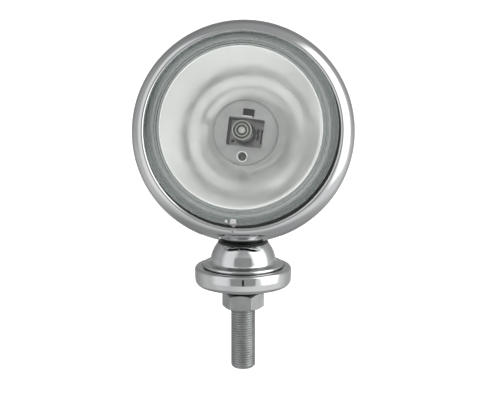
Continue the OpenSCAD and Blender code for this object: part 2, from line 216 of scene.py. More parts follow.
def tube_geometry(points, radius, sides=10):
    """A round wire along points, with flat ends."""
    pts = [Vector(p) for p in points]
    verts, faces = [], []
    side = None
    for i, p in enumerate(pts):
        along = (pts[min(i + 1, len(pts) - 1)] - pts[max(i - 1, 0)]).normalized()
        if side is None:
            side = along.orthogonal().normalized()
        side = (side - along * side.dot(along)).normalized()
        other = along.cross(side)
        for k in range(sides):
            a = TAU * k / sides
            verts.append(tuple(p + side * (radius * rcos(a)) + other * (radius * rsin(a))))
    for i in range(len(pts) - 1):
        for k in range(sides):
            n = (k + 1) % sides
            faces.append((i * sides + k, i * sides + n, (i + 1) * sides + n, (i + 1) * sides + k))
    faces.append(tuple(reversed(range(sides))))
    faces.append(tuple(range((len(pts) - 1) * sides, len(pts) * sides)))
    return verts, faces


def joined(*parts):
    verts, faces = [], []
    for v, f in parts:
        base = len(verts)
        verts += list(v)
        faces += [tuple(i + base for i in face) for face in f]
    return verts, faces


def upright(geometry):
    """Stands on end, along Z, what was made along the lamp's Y axis."""
    verts, faces = geometry
    return [(x, z, y) for x, y, z in verts], faces


def moved(geometry, dx=0.0, dy=0.0, dz=0.0):
    verts, faces = geometry
    return [(x + dx, y + dy, z + dz) for x, y, z in verts], faces


def raw_object(name, geometry, matrix):
    verts, faces = geometry
    mesh = bpy.data.meshes.new(name)
    mesh.from_pydata([matrix @ (Vector(v) * MM) for v in verts], [], faces)
    bm = bmesh.new()
    bm.from_mesh(mesh)
    bmesh.ops.remove_doubles(bm, verts=bm.verts, dist=1e-6)
    bmesh.ops.dissolve_degenerate(bm, edges=bm.edges, dist=1e-7)
    bmesh.ops.recalc_face_normals(bm, faces=bm.faces)
    bm.to_mesh(mesh)
    bm.free()
    obj = bpy.data.objects.new(name, mesh)
    bpy.context.scene.collection.objects.link(obj)
    return obj


def cut(obj, cutters, matrix):
    """Takes closed shapes out of a piece and leaves the result in its mesh."""
    tools = []
    for i, geometry in enumerate(cutters):
        tool = raw_object(f"cutter_{i}", geometry, matrix)
        tools.append(tool)
        mod = obj.modifiers.new(f"cut_{i}", "BOOLEAN")
        mod.operation, mod.solver, mod.object = "DIFFERENCE", "EXACT", tool
    graph = bpy.context.evaluated_depsgraph_get()
    result = bpy.data.meshes.new_from_object(obj.evaluated_get(graph))
    obj.modifiers.clear()
    old = obj.data
    obj.data = result
    bpy.data.meshes.remove(old)
    for tool in tools:
        bpy.data.objects.remove(tool)


def absorb(obj, other):
    """Adds another object's mesh to a piece and removes that object."""
    bm = bmesh.new()
    bm.from_mesh(obj.data)
    bm.from_mesh(other.data)
    bm.to_mesh(obj.data)
    bm.free()
    bpy.data.objects.remove(other)


def slice_flat(obj, point, normal):
    """Cuts away what lies beyond a plane and closes the cut."""
    bm = bmesh.new()
    bm.from_mesh(obj.data)
    bmesh.ops.bisect_plane(bm, geom=bm.verts[:] + bm.edges[:] + bm.faces[:], dist=1e-7,
                           plane_co=point, plane_no=normal, clear_outer=True)
    open_edges = [e for e in bm.edges if e.is_boundary]
    bmesh.ops.edgenet_fill(bm, edges=open_edges, mat_nr=0, use_smooth=False)
    bmesh.ops.recalc_face_normals(bm, faces=bm.faces)
    bm.to_mesh(obj.data)
    bm.free()


def finish_piece(obj, body, material, nodes, sharp=32):
    mesh = obj.data
    mesh.materials.clear()
    mesh.materials.append(material)
    mesh.polygons.foreach_set("material_index", [0] * len(mesh.polygons))
    mesh.polygons.foreach_set("use_smooth", [True] * len(mesh.polygons))
    mesh.set_sharp_from_angle(angle=math.radians(sharp))
    mesh.update()
    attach(obj, body)
    if nodes:
        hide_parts(*nodes)
    return obj


def piece(name, geometry, matrix, body, material, nodes=(), sharp=32, cutters=()):
    obj = raw_object(name, geometry, matrix)
    if cutters:
        cut(obj, cutters, matrix)
    return finish_piece(obj, body, material, nodes, sharp)


# ---------- materials ----------

class Shader:
    """A node material built from object coordinates, so that it stays with its piece."""

    def __init__(self, name):
        self.material = bpy.data.materials.new(name)
        self.material.use_nodes = True
        self.tree = self.material.node_tree
        self.bsdf = self.tree.nodes["Principled BSDF"]
        self.coords = self.tree.nodes.new("ShaderNodeTexCoord").outputs["Object"]

    def link(self, a, b):
        self.tree.links.new(a, b)

    def noise(self, size_mm, detail=4.0, vector=None):
        node = self.tree.nodes.new("ShaderNodeTexNoise")
        node.inputs["Scale"].default_value = 1000.0 / size_mm
        node.inputs["Detail"].default_value = detail
        self.link(vector or self.coords, node.inputs["Vector"])
        return node.outputs["Fac"]

    def ranged(self, value, low, high, start=0.3, end=0.7):
        node = self.tree.nodes.new("ShaderNodeMapRange")
        for key, number in (("From Min", start), ("From Max", end), ("To Min", low), ("To Max", high)):
            node.inputs[key].default_value = number
        self.link(value, node.inputs["Value"])
        return node.outputs["Result"]

    def mixed(self, value, a, b):
        """Mixes two colours, each given as numbers or as another node's output."""
        node = self.tree.nodes.new("ShaderNodeMix")
        node.data_type = "RGBA"
        for socket, colour in ((node.inputs[6], a), (node.inputs[7], b)):
            if isinstance(colour, tuple):
                socket.default_value = (*colour, 1)
            else:
                self.link(colour, socket)
        self.link(value, node.inputs[0])
        return node.outputs[2]

    def colour(self, value, a, b):
        self.link(self.mixed(self.ranged(value, 0, 1), a, b), self.bsdf.inputs["Base Color"])

    def rough(self, value, low, high):
        self.link(self.ranged(value, low, high), self.bsdf.inputs["Roughness"])

    def bump(self, value, depth_mm, strength=1.0):
        node = self.tree.nodes.new("ShaderNodeBump")
        node.inputs["Distance"].default_value = depth_mm * MM
        node.inputs["Strength"].default_value = strength
        self.link(value, node.inputs["Height"])
        self.link(node.outputs["Normal"], self.bsdf.inputs["Normal"])

    def set(self, **values):
        for key, value in values.items():
            self.bsdf.inputs[key.replace("_", " ")].default_value = value


def metal(name, dark, light, rough, bump_mm, grain_mm, cloud_mm, metallic=1.0, specular=0.5):
    """Metal clouded between two colours, with a fine grain."""
    s = Shader(name)
    s.set(Metallic=metallic, Specular_IOR_Level=specular)
    s.colour(s.noise(cloud_mm, 3), dark, light)
    s.rough(s.noise(cloud_mm * 0.6, 5), *rough)
    s.bump(s.noise(grain_mm, 4), bump_mm)
    return s.material


chrome = metal("chrome_plate", (0.53, 0.545, 0.555), (0.60, 0.605, 0.60), (0.025, 0.07),
               bump_mm=0.0003, grain_mm=1.2, cloud_mm=22.0)
zinc = metal("zinc_plate", (0.40, 0.41, 0.39), (0.49, 0.51, 0.52), (0.30, 0.46),
             bump_mm=0.006, grain_mm=0.5, cloud_mm=5.0)
bright = metal("bright_steel", (0.58, 0.58, 0.58), (0.68, 0.68, 0.67), (0.14, 0.28),
               bump_mm=0.003, grain_mm=0.4, cloud_mm=4.0)
spring = metal("black_oxide_steel", (0.012, 0.012, 0.014), (0.04, 0.04, 0.043), (0.34, 0.5),
               bump_mm=0.006, grain_mm=0.4, cloud_mm=3.0)
tungsten = metal("tungsten_wire", (0.25, 0.25, 0.26), (0.40, 0.39, 0.37), (0.3, 0.5),
                 bump_mm=0.002, grain_mm=0.1, cloud_mm=0.6)
nickel = metal("dull_nickel", (0.40, 0.40, 0.395), (0.52, 0.52, 0.515), (0.36, 0.50),
               bump_mm=0.004, grain_mm=0.4, cloud_mm=2.0)
# Painted shade: the bulb base's colour is darkened so the pocket and the bulb's inside read as dark.
shaded_pocket_steel = metal("shaded_pocket_steel", (0.15, 0.153, 0.145), (0.24, 0.24, 0.23), (0.30, 0.45),
                   bump_mm=0.004, grain_mm=0.3, cloud_mm=2.5)
# Painted shade: near-black steel for the bulb's cap and the screw's socket, where only shadow is seen.
painted_shade_black = metal("painted_shade_black_steel", (0.03, 0.034, 0.03), (0.08, 0.084, 0.075), (0.30, 0.45),
              bump_mm=0.004, grain_mm=0.3, cloud_mm=2.0)
plate_metal = metal("satin_aluminium", (0.33, 0.33, 0.33), (0.39, 0.39, 0.385), (0.40, 0.54),
                    bump_mm=0.004, grain_mm=0.3, cloud_mm=7.0)

# Part mirror and part pale satin, so that the bulb plate's dark reflection stays faint
mirror = metal("bright_mirror", (0.92, 0.925, 0.915), (0.97, 0.97, 0.96), (0.12, 0.22),
               bump_mm=0.0008, grain_mm=3.0, cloud_mm=14.0, metallic=0.57, specular=0.9)


def turned_flange():
    """Satin metal with fine rings round the lamp's axis, and painted shade darkening its outer band next to the
    trim ring.
    """
    s = Shader("turned_flange")
    s.set(Metallic=1.0)
    centre = UNIT.to_translation()
    axis = (UNIT.to_3x3() @ Vector((0, 1, 0))).normalized()
    away = s.tree.nodes.new("ShaderNodeVectorMath")
    away.operation = "SUBTRACT"
    away.inputs[1].default_value = centre
    s.link(s.coords, away.inputs[0])
    across = s.tree.nodes.new("ShaderNodeVectorMath")
    across.operation = "CROSS_PRODUCT"
    across.inputs[1].default_value = axis
    s.link(away.outputs["Vector"], across.inputs[0])
    radius = s.tree.nodes.new("ShaderNodeVectorMath")
    radius.operation = "LENGTH"
    s.link(across.outputs["Vector"], radius.inputs[0])
    rings = s.tree.nodes.new("ShaderNodeCombineXYZ")
    s.link(radius.outputs["Value"], rings.inputs["X"])
    fine = s.noise(0.55, 3, rings.outputs["Vector"])
    bands = s.ranged(s.noise(1.5, 3, rings.outputs["Vector"]), 0, 1)
    # Painted shade: the colour turns darker from 45 to 47 mm out, beside the trim ring's overhang.
    ring_shade_band = s.ranged(radius.outputs["Value"], 0, 1, 45.0 * MM, 47.0 * MM)
    inner = s.mixed(bands, (0.17, 0.188, 0.182), (0.35, 0.37, 0.362))
    outer = s.mixed(bands, (0.065, 0.076, 0.074), (0.19, 0.21, 0.206))
    s.link(s.mixed(ring_shade_band, inner, outer), s.bsdf.inputs["Base Color"])
    s.rough(fine, 0.18, 0.34)
    s.bump(fine, 0.010)
    return s.material


flange_metal = turned_flange()


def soft_black(name, a, b, rough, bump_mm, grain_mm):
    s = Shader(name)
    s.colour(s.noise(4.0, 4), a, b)
    s.rough(s.noise(2.0, 5), *rough)
    s.bump(s.noise(grain_mm, 5), bump_mm)
    return s.material


rubber = soft_black("black_rubber", (0.012, 0.012, 0.012), (0.03, 0.03, 0.03), (0.5, 0.75), 0.02, 0.4)
nylon = soft_black("black_nylon", (0.010, 0.010, 0.011), (0.022, 0.022, 0.023), (0.30, 0.45), 0.01, 0.3)
sheath = soft_black("lead_sheath", (0.02, 0.02, 0.02), (0.045, 0.045, 0.045), (0.35, 0.5), 0.01, 0.3)
sleeve = soft_black("terminal_sleeve", (0.42, 0.05, 0.03), (0.55, 0.09, 0.05), (0.35, 0.5), 0.01, 0.3)


def glass(name, tint_a, tint_b, rough, ior):
    s = Shader(name)
    s.set(Transmission_Weight=1.0, IOR=ior)
    s.colour(s.noise(18.0, 3), tint_a, tint_b)
    s.rough(s.noise(9.0, 5), *rough)
    s.bump(s.noise(24.0, 2), 0.004, 0.5)
    return s.material


clear_glass = glass("pressed_glass", (0.975, 0.99, 0.982), (0.985, 0.995, 0.99), (0.0, 0.015), 1.50)
# Painted highlight: pale opaque rings and a pip that stand in for the bright edges and tip of the bulb's glass.
painted_glint = soft_black("painted_glint_glass", (0.46, 0.475, 0.42), (0.60, 0.61, 0.56), (0.16, 0.28), 0.01, 0.5)
quartz = glass("quartz_glass", (0.96, 0.97, 0.96), (0.99, 0.99, 0.99), (0.0, 0.015), 1.46)


# ---------- base ----------

def base_disc():
    bore_r, top, groove_z, recess_z = 6.4, DISC_TOP, 8.3, 9.1
    outline = rounded([(bore_r, 0.0, 0.3), (23.6, 0.0, 1.0), (24.72, 1.6, 1.4), (DISC_R, 4.6, 0.5),
                       (DISC_R, top, 2.0), (21.7, top, 0.25), (21.55, groove_z, 0.2), (20.7, groove_z, 0.2),
                       (20.6, recess_z), (bore_r, recess_z)], 8)
    disc = raw_object("Base_Disc", lathe_geometry(outline, 256, True), ROW)
    hex_pocket = upright(prism_geometry(circle(DISC_POCKET_R, n=6), STUD_HEAD_Z, 12.0))
    cut(disc, [hex_pocket], ROW)
    finish_piece(disc, "base", chrome, ["base_disc"])


def swivel_dome():
    """From outside in: a rounded foot, a hollow sweep, the dome, its lip, and the inside of its wall."""
    foot_r, foot_edge, foot_z = 20.9, 1.1, 9.15
    sweep, sweep_r, sweep_z, join_z = 2.3, 19.1, 13.7, 14.7
    lip, seat_z, bore_r = 0.7, 21.0, 13.8
    inner_r = DOME_R - DOME_WALL
    join = math.degrees(math.asin((join_z - DOME_MID) / DOME_R))
    mouth = math.degrees(math.asin((DOME_TOP - DOME_MID) / DOME_R))
    inside = math.degrees(math.acos(SEAT_R / inner_r))
    outline = [(SEAT_R, foot_z)]
    outline += arc(foot_r - foot_edge, foot_z + foot_edge, foot_edge, foot_edge, -90, 90, 16)
    outline += arc(sweep_r, sweep_z, sweep, sweep, 270, 180, 14)
    outline += arc(0, DOME_MID, DOME_R, DOME_R, join, mouth, 48)
    outline += arc(MOUTH_R + lip, DOME_TOP - 0.55, lip, lip, 80, 180, 12)
    outline += [(MOUTH_R, seat_z), (SEAT_R, seat_z)]
    outline += arc(0, DOME_MID, inner_r, inner_r, inside, 0, 20)
    outline += [(bore_r, DOME_MID), (bore_r, foot_z)]
    piece("Swivel_Dome", lathe_geometry(outline, 224, True), ROW, "base", chrome,
          ["swivel_dome"], 30)


def seat_ring():
    """The black seat: it fits the ball, and its brim lies just over the dome's lip."""
    low, high, ball_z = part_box("seat_ring")[0].z / MM, 23.2, pivot.z / MM
    bore_r, ball_r, steps = 6.0, BALL_R + 0.06, 16
    neck_r = MOUTH_R - 0.06
    outline = [(bore_r, low), (SEAT_R, low), (11.9, 20.6), (neck_r, 20.9), (neck_r, 22.97), (12.12, 22.97),
               (SEAT_R, 22.56), (13.0, 22.13, 0.05), (13.0, 22.42, 0.12), (12.45, 23.02, 0.2),
               (12.1, high, 0.1)]
    start = ball_z - math.sqrt(ball_r ** 2 - bore_r ** 2)
    for i in range(steps + 1):
        z = high - 0.02 + (start - high) * i / steps
        outline.append((math.sqrt(ball_r ** 2 - (ball_z - z) ** 2), z))
    piece("Seat_Ring", lathe_geometry(rounded(outline, 4), 160, True), ROW, "base", nylon,
          ["seat_ring"])


def thread_geometry():
    """A right-hand helical thread with its end chamfer, a hair thinner where the nut and the disc sit."""
    core, chamfer, neck_r = 5.62, 1.2, 5.5
    around, per_turn = 64, 8
    flank = [0.0, 0.0, 0.35, 0.75, 1.0, 1.0, 0.65, 0.3]
    rows = int((STUD_HEAD_Z - STUD_BOTTOM) / PITCH + 3) * per_turn
    verts, faces, index = [], [], {}
    for m in range(rows + per_turn + 1):
        for k in range(around):
            z = STUD_BOTTOM - 1.5 * PITCH + PITCH * (m / per_turn + k / around)
            r = core + (STUD_R - core) * flank[m % per_turn]
            if z > SHANK_BOTTOM:
                r = min(r, SHANK_R)
            flat_z = min(max(z, STUD_BOTTOM), STUD_HEAD_Z)
            r = min(r, STUD_R - chamfer + max(0.0, flat_z - STUD_BOTTOM))
            if z >= STUD_HEAD_Z:
                r = neck_r
            index[m, k] = len(verts)
            a = TAU * k / around
            verts.append((r * rcos(a), r * rsin(a), flat_z))
    for m in range(rows):
        for k in range(around - 1):
            faces.append((index[m, k], index[m, k + 1], index[m + 1, k + 1], index[m + 1, k]))
        # A turn's last column meets the first column of the next turn
        faces.append((index[m, around - 1], index[m + per_turn, 0], index[m + 1 + per_turn, 0],
                      index[m + 1, around - 1]))
    return verts, faces


def close_ends(obj):
    """Drops the flattened rows past the ends of a thread and fills the two holes."""
    bm = bmesh.new()
    bm.from_mesh(obj.data)
    bmesh.ops.remove_doubles(bm, verts=bm.verts, dist=2e-6)
    bmesh.ops.dissolve_degenerate(bm, edges=bm.edges, dist=1e-7)
    flat = [f for f in bm.faces if f.calc_area() < 1e-14]
    bmesh.ops.delete(bm, geom=flat, context="FACES")
    loose = [v for v in bm.verts if not v.link_faces]
    bmesh.ops.delete(bm, geom=loose, context="VERTS")
    bmesh.ops.holes_fill(bm, edges=[e for e in bm.edges if e.is_boundary], sides=0)
    bmesh.ops.recalc_face_normals(bm, faces=bm.faces)
    bm.to_mesh(obj.data)
    bm.free()


def hex_outline(corner):
    return rounded([(x, y, corner) for x, y in circle(HEX_AF / math.sqrt(3), n=6)], 4)


def dense(outline, step):
    """Adds points along the sides of an outline, at most a step apart."""
    out = []
    for i, a in enumerate(outline):
        b = outline[(i + 1) % len(outline)]
        n = max(1, int(math.dist(a, b) / step))
        out += [(a[0] + (b[0] - a[0]) * k / n, a[1] + (b[1] - a[1]) * k / n) for k in range(n)]
    return out


def nut_geometry(z0, z1, bore):
    """A hex nut whose chamfers are cones cutting the flats, with a countersunk bore."""
    outline = dense(hex_outline(0.35), 0.45)
    face_r, slope, sink = HEX_AF / 2 - 0.3, 0.6, 0.5
    n, rings = len(outline), 8
    rows = [[] for _ in range(rings)]
    for x, y in outline:
        r = math.hypot(x, y)
        rise = max(0.02, (r - face_r) * slope)
        section = [(bore, z0 + sink), (bore + sink, z0), (face_r, z0), (r, z0 + rise),
                   (r, z1 - rise), (face_r, z1), (bore + sink, z1), (bore, z1 - sink)]
        for row, (ring_r, z) in zip(rows, section):
            row.append((x / r * ring_r, y / r * ring_r, z))
    verts = [v for row in rows for v in row]
    faces = []
    for i in range(rings):
        here, there = i * n, (i + 1) % rings * n
        for k in range(n):
            after = (k + 1) % n
            faces.append((here + k, here + after, there + after, there + k))
    return verts, faces


def turned_about_z(geometry, degrees):
    a = math.radians(degrees)
    verts, faces = geometry
    return [(x * rcos(a) - y * rsin(a), x * rsin(a) + y * rcos(a), z) for x, y, z in verts], faces


def mounting_stud():
    stud = raw_object("Mounting_Stud", thread_geometry(), ROW)
    close_ends(stud)
    head = prism_geometry(hex_outline(0.3), STUD_HEAD_Z, STUD_HEAD_Z + STUD_HEAD_H)
    absorb(stud, raw_object("stud_head", upright(head), ROW))
    finish_piece(stud, "base", zinc, ["mounting_stud"], 28)


def mounting_nut():
    bore_r, turn = 6.4, -2
    nut = turned_about_z(nut_geometry(NUT_BOTTOM, NUT_TOP, bore_r), turn)
    piece("Mounting_Nut", nut, ROW, "nut", zinc, ["mounting_nut"], 24)


def lock_washer():
    """A split coil, a little sprung, between the disc and the nut."""
    half, inner_r, outer_r, edge, spring_rise = -NUT_TOP / 2, 6.5, 9.55, 0.15, 0.14
    section = rounded([(inner_r, edge - half, 0.2), (outer_r, edge - half, 0.3), (outer_r, half - edge, 0.3),
                       (inner_r, half - edge, 0.2)], 3)
    steps, gap, split_at = 90, math.radians(7), math.radians(100)
    verts, faces = [], []
    for i in range(steps + 1):
        a = split_at + gap / 2 + (TAU - gap) * i / steps
        lift = -half + spring_rise * (i / steps - 0.5) * 2
        verts += [(r * rcos(a), r * rsin(a), z + lift) for r, z in section]
    m = len(section)
    for i in range(steps):
        for k in range(m):
            n = (k + 1) % m
            faces.append((i * m + k, i * m + n, (i + 1) * m + n, (i + 1) * m + k))
    faces += [tuple(range(m)), tuple(range(steps * m, steps * m + m))]
    piece("Lock_Washer", (verts, faces), ROW, "washer", spring, ["lock_washer"])


# ---------- shell and ring ----------

def bowl_r(y, inset=0.0):
    t = max(0.0, (y - BOWL_FRONT) / (BOWL_DEPTH - inset))
    return (BOWL_R - inset) * math.sqrt(max(0.0, 1 - t ** 1.5))


def bowl_points(y0, inset, n=60):
    """The bowl's profile from a depth back to the cable hole, closer together towards the hole."""
    reach = (1 - (CABLE_HOLE_R / (BOWL_R - inset)) ** 2) ** (2 / 3)
    end = BOWL_FRONT + (BOWL_DEPTH - inset) * reach
    depths = [y0 + (end - y0) * rsin(math.pi / 2 * i / n) for i in range(n)]
    return [(bowl_r(y, inset), y) for y in depths] + [(CABLE_HOLE_R, end)]


def shell():
    seat_r, front, lip_r = 51.5, -11.8, 57.0
    back, notch_half = SKIRT_Y + 1.2, 11.2
    outer = rounded([(seat_r, front, 0.2), (BOWL_R, front, 0.3), (BOWL_R, SKIRT_Y, 0.1),
                     (lip_r, SKIRT_Y, 0.45), (lip_r, back, 0.45), (bowl_r(back), back)], 5)[:-1]
    profile = outer + bowl_points(back, 0) + bowl_points(back, BOWL_WALL)[::-1] + [(seat_r, back)]
    half_turn = arc(0, 0, BALL_R, BALL_R, -90, 90, 64)
    ball = moved(lathe_geometry(half_turn, 128, True, closed=False), dz=-ball_drop / MM)
    notch = prism_geometry([(-notch_half, -70), (notch_half, -70), (notch_half, -RING_FLAT),
                            (-notch_half, -RING_FLAT)], -20, back + 0.4)
    piece("Shell", lathe_geometry(profile, 256), HEAD, "head", chrome, ["shell"], 30, [ball, notch])


def trim_ring():
    """A small roll at the glass runs into a wide arc out to the skirt, with the foot cut flat."""
    wall, roll, lead, edge = 1.0, 1.1, 22, 0.4
    rise, run = rsin(math.radians(lead)), rcos(math.radians(lead))
    sweep = (RIM_R - RIM_INNER_R - roll * (1 + rise)) / (1 - rise)
    roll_r, roll_y = RIM_INNER_R + roll, CREST_Y + roll
    arc_r, arc_y = RIM_R - sweep, roll_y + (sweep - roll) * run
    profile = [(RIM_INNER_R, LIP_Y)]
    profile += arc(roll_r, roll_y, roll, roll, 180, 270 + lead, 22)
    profile += arc(arc_r, arc_y, sweep, sweep, 270 + lead, 360, 40)[1:]
    profile += arc(RIM_R - edge, SKIRT_Y - edge, edge, edge, 0, 90, 4)
    profile += [(RIM_R - wall, SKIRT_Y)]
    profile += arc(arc_r, arc_y, sweep - wall, sweep - wall, 360, 270 + lead, 20)
    profile += [(RIM_INNER_R + wall, roll_y + 0.6), (RIM_INNER_R + wall, LIP_Y)]
    obj = raw_object("Trim_Ring", lathe_geometry(profile, 320), HEAD)
    down = (HEAD.to_3x3() @ Vector((0, 0, -1))).normalized()
    slice_flat(obj, HEAD @ Vector((0, 0, -RING_FLAT * MM)), down)
    finish_piece(obj, "head", chrome, ["trim_ring"], 34)


def ring_clip():
    def tab(outline, forward, thick, tilt=0.0, about=0.0):
        y0 = LIP_Y - forward
        verts, faces = prism_geometry(rounded(outline, 4), y0, y0 + thick)
        return [(x, y + tilt * (x - about), z) for x, y, z in verts], faces

    vee = tab([(-6.0, -47.5, 0.2), (-0.8, -47.5, 0.2), (-3.3, -49.9, 0.4)], 0.6, 0.3)
    big = tab([(-5.3, -47.8, 0.5), (-1.8, -47.8, 0.5), (-2.1, -45.3, 0.6), (-4.8, -45.3, 0.6)], 1.0, 0.35,
              tilt=0.42, about=-3.5)
    small = tab([(-7.9, -47.0, 0.3), (-6.4, -47.5, 0.3), (-6.5, -45.9, 0.3), (-7.7, -45.7, 0.3)], 0.8, 0.3,
                tilt=0.5, about=-7.1)
    arm = tab([(-7.4, -47.2, 0.2), (-3.4, -48.0, 0.2), (-3.4, -48.4, 0.1), (-7.2, -47.5, 0.1)], 0.55, 0.25)
    piece("Ring_Clip", joined(vee, big, small, arm), HEAD, "head", nickel, ["ring_clip"], 20)


def ring_screw():
    x, z, shank_r = -3.3, -51.9, 0.8
    outline = [(0.0, CREST_Y - 0.5), (0.75, CREST_Y - 0.47)]
    outline += arc(shank_r, CREST_Y - 0.2, 0.3, 0.27, 270, 360, 5)
    outline += [(1.1, CREST_Y), (shank_r, CREST_Y), (shank_r, LIP_Y + 0.6), (0.0, LIP_Y + 0.6)]
    slot = prism_geometry(rect(3.0, 0.3, 0.02), CREST_Y - 1, CREST_Y - 0.25)
    piece("Ring_Screw", moved(lathe_geometry(outline, 32, closed=False), x, 0, z), HEAD, "head",
          bright, ["ring_screw"], 30, [moved(slot, x, 0, z)])


# ---------- glass and reflector ----------

def lens():
    def front(r):
        return LENS_Y - LENS_BULGE * (1 - (r / LENS_R) ** 2)

    rim, steps = 49.4, 40
    face_r = [LENS_R * i / steps for i in range(steps - 1)]
    edge_r = LENS_R * (steps - 1.5) / steps
    profile = [(r, front(r)) for r in face_r]
    profile += rounded([(edge_r, front(edge_r)), (LENS_R, LENS_Y + 0.1, 0.7),
                        (LENS_R, LENS_Y + LENS_T - 0.1, 0.5), (rim, front(rim) + LENS_T)], 5)
    back_r = [rim * i / 32 for i in range(31, -1, -1)]
    profile += [(r, front(r) + LENS_T) for r in back_r]
    piece("Lens", lathe_geometry(profile, 224, closed=False), UNIT, "head", clear_glass,
          ["lens"], 40)


def lens_gasket():
    inner_r, outer_r, front = LENS_R + 0.1, 53.4, LENS_Y + 0.5
    outline = rounded([(inner_r, front, 0.6), (52.0, front, 0.6), (outer_r, LENS_Y + 2, 0.4),
                       (outer_r, MIRROR_Y, 0.1), (inner_r, MIRROR_Y, 0.1)], 6)
    piece("Lens_Gasket", lathe_geometry(outline, 160), UNIT, "head", rubber, ["lens_gasket"])


def reflector():
    ripple, ripple_scale, rim_fade, plate_fade = 0.16, 0.055, 6, 5

    def wavy(x, y, z):
        """Pressed metal isn't quite true: a slow ripple in depth that fades at the edge."""
        r = math.hypot(x, z)
        if r < 1 or r > MIRROR_R:
            return x, y, z
        fade = min(1.0, (MIRROR_R - r) / rim_fade) * min(1.0, max(0.0, r - PLATE_R) / plate_fade)
        return x, y + ripple * fade * noise.noise(Vector((x, z, 3.0)) * ripple_scale), z

    # The bowl lies between a parabola and a cone, nearer the cone
    steps, straight = 64, 0.80
    bowl = []
    for i in range(steps + 1):
        t = i / steps
        r = PLATE_R + (MIRROR_R - PLATE_R) * t
        parabola = VERTEX_Y - r * r / (4 * FOCUS)
        cone = PLATE_Y + (MIRROR_Y - PLATE_Y) * t
        bowl.append((r, (1 - straight) * parabola + straight * cone))
    lip = arc(MIRROR_R + 0.55, MIRROR_Y + 0.2, 0.5, 0.5, 200, 340, 8)
    behind = [(MIRROR_R + 1.2, MIRROR_Y + 0.9)] + [(r + 0.4, y + 0.96) for r, y in bowl[::-4]]
    piece("Reflector", lathe_geometry(bowl[:-1] + lip + behind, 256, warp=wavy), UNIT, "head",
          mirror, ["reflector"], 50)


def reflector_flange():
    """The flange round the mouth: a dished band with two pressed ridges, then a shallow cone."""
    inner, cone, outer, y = MIRROR_R + 0.7, 46.0, 50.2, MIRROR_Y + 1.9
    ridges = ((0.16, 43.3, 0.30), (0.10, 44.6, 0.35))
    dish, slope = 0.25, 0.31
    front = []
    for i in range(61):
        t = i / 60
        r = inner + (cone - inner) * t
        ridge = sum(high * math.exp(-((r - middle) / width) ** 2) for high, middle, width in ridges)
        front.append((r, y - ridge - dish * (1 - t) ** 2))
    for i in range(1, 13):
        t = i / 12
        front.append((cone + (outer - cone) * t, y - (outer - cone) * slope * t ** 1.15))
    outline = front + [(outer, y - 0.8), (49.6, y + 0.5), (inner, y + 0.5)]
    piece("Reflector_Flange", lathe_geometry(outline, 224), UNIT, "head", flange_metal,
          sharp=60)


# ---------- bulb and its holder ----------

def bulb_plate():
    y, rim_r = PLATE_Y, PLATE_R - 0.05
    outline = rounded([(0.0, y), (PLATE_R - 0.9, y, 0.2), (PLATE_R - 0.6, y - 0.35, 0.2),
                       (rim_r, y - 0.35, 0.25), (rim_r, y + 1.5, 0.2), (0.0, y + 1.5)], 4)
    obj = raw_object("Bulb_Plate", lathe_geometry(outline, 128, closed=False), UNIT)
    pocket = rect(19, 15, 1.0)
    strap_slot = rect(6.2, 4.2, 0.4, 0.5, 10.5)
    screw_hole = circle(1.6, 0, -SCREW_DOWN, 24)
    cut(obj, [prism_geometry(hole, y - 1, y + 3) for hole in (pocket, strap_slot, screw_hole)], UNIT)
    walls = wall_geometry(rect(20.6, 16.6, 1.8), pocket, y + 1.45, BASE_Y - 0.1)
    absorb(obj, raw_object("pocket_walls", walls, UNIT))
    finish_piece(obj, "head", plate_metal, ["bulb_plate"])


def bulb_glass():
    r, seal = BULB_R, FOCUS_Y + 7
    outside = [(0.0, BULB_TIP_Y + 1.3)] + arc(r - 1.6, BULB_TIP_Y + 2.9, 1.6, 1.6, -90, 0, 10)
    outside += [(r, seal + 1.6), (0.0, seal + 1.6)]
    inside = [(0.0, seal), (r - 0.9, seal - 1)] + arc(r - 2.4, BULB_TIP_Y + 4.0, 1.5, 1.8, 0, -90, 8)
    inside += [(0.0, BULB_TIP_Y + 2.2)]
    shape = joined(lathe_geometry(outside, 72, closed=False), lathe_geometry(inside, 72, closed=False))
    piece("Bulb_Glass", moved(shape, BULB_X), UNIT, "head", quartz, ["bulb_glass"])


def bulb_cap():
    """The bulb's dark cap, painted shade for the dark inside of the bulb, with two pale rings and a pip as painted
    highlights of the glass's edges and tip.
    """
    tip = BULB_TIP_Y
    cap = rounded([(0.0, tip + 0.7), (1.9, tip + 0.7, 0.1), (2.5, tip + 1.0, 0.3), (4.4, tip + 0.9, 0.4),
                   (5.0, tip + 1.3, 0.3), (5.0, tip + 3.4, 0.05), (4.82, tip + 3.4), (4.82, tip + 2.6),
                   (3.3, tip + 1.22, 0.2), (0.0, tip + 1.22)], 5)
    piece("Bulb_Cap", moved(lathe_geometry(cap, 72, closed=False), BULB_X), UNIT, "head",
          painted_shade_black)
    pip = [(0.0, tip - 0.55), (0.9, tip - 0.45), (1.5, tip - 0.1), (1.85, tip + 0.5), (1.85, tip + 0.72),
           (0.0, tip + 0.72)]
    parts = [lathe_geometry(pip, 8, closed=False)]
    # The two rings are painted highlights of the glass's edges.
    for ring_r, wire, depth in ((4.86, 0.26, 0.95), (3.15, 0.22, 0.86)):
        parts.append(lathe_geometry(circle(wire, ring_r, tip + depth, 12), 72))
    piece("Bulb_Cap_Rings", moved(joined(*parts), BULB_X), UNIT, "head", painted_glint, sharp=28)


